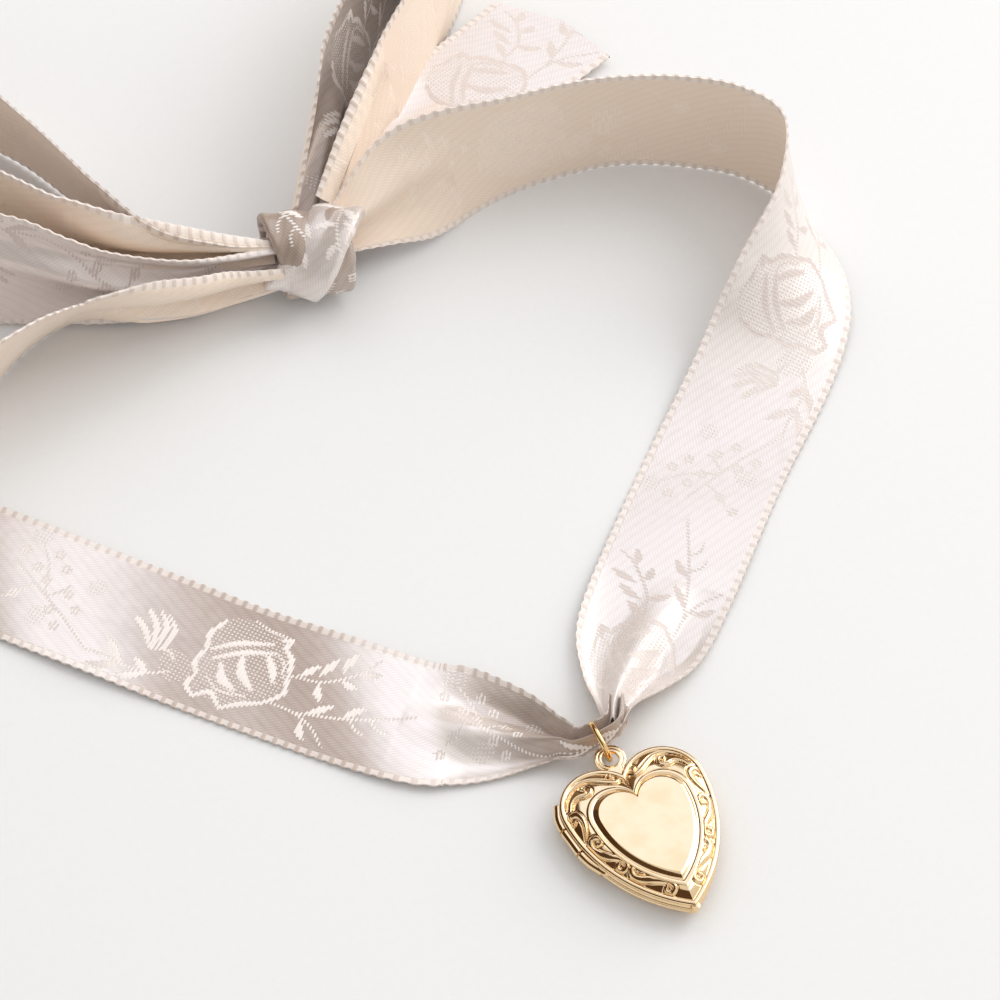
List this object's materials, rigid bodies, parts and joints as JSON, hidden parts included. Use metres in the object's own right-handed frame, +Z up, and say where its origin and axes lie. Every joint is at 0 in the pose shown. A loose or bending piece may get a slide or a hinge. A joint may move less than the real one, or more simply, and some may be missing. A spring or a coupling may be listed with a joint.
{
  "type": "heart locket",
  "caption": "Hinged heart locket with embossed scroll border, bail and jump ring, threaded on a tied woven ribbon with a bow.",
  "frame": {"origin": "middle of the flat resting face of the back cover", "axes": "+Z up out of the front cover, +Y from the heart's tip towards its notch and bail, +X away from the hinge"},
  "size_m": [0.186, 0.199, 0.0227],
  "materials": {
    "polished_gold": "polished gold plate, lightly worn on the raised edges",
    "ring_gold": "polished gold-plated round wire",
    "clear_acetate": "thin clear acetate sheet",
    "card": "blank off-white picture card",
    "ribbon": "champagne satin jacquard with woven roses and picot edges"
  },
  "bodies": {
    "ribbon": {"ribbon_gather": "ribbon", "neck_ribbon_left": "ribbon", "neck_ribbon_right": "ribbon", "ribbon_knot": "ribbon", "bow_loop_left": "ribbon", "bow_loop_right": "ribbon", "ribbon_tail_left": "ribbon", "ribbon_tail_right": "ribbon"},
    "ring": {"jump_ring": "ring_gold"},
    "back": {"back_cover": "polished_gold", "back_knuckle_upper": "polished_gold", "back_knuckle_lower": "polished_gold", "hinge_pin": "polished_gold", "bail_loop": "polished_gold", "snap_lip": "polished_gold", "back_photo_frame": "polished_gold", "back_window": "clear_acetate", "back_photo_card": "card"},
    "front": {"front_cover": "polished_gold", "front_knuckle": "polished_gold", "thumb_catch": "polished_gold", "front_photo_frame": "polished_gold", "front_window": "clear_acetate", "front_photo_card": "card"}
  },
  "joints": [
    {"name": "ring_swing", "type": "hinge", "parent": "ribbon", "child": "ring", "pos_m": [-0.00051, 0.01907, 0.00451], "axis": [-0.9744, 0, -0.225], "range_deg": [0, 90]},
    {"name": "locket_swivel", "type": "hinge", "parent": "ring", "child": "back", "pos_m": [0, 0.0152, 0.00232], "axis": [0, 0, 1], "range_deg": [-15, 30]},
    {"name": "cover_hinge", "type": "hinge", "parent": "back", "child": "front", "pos_m": [-0.01145, 0.0041, 0.00275], "axis": [0.1219, -0.9925, 0], "range_deg": [0, 180]}
  ]
}
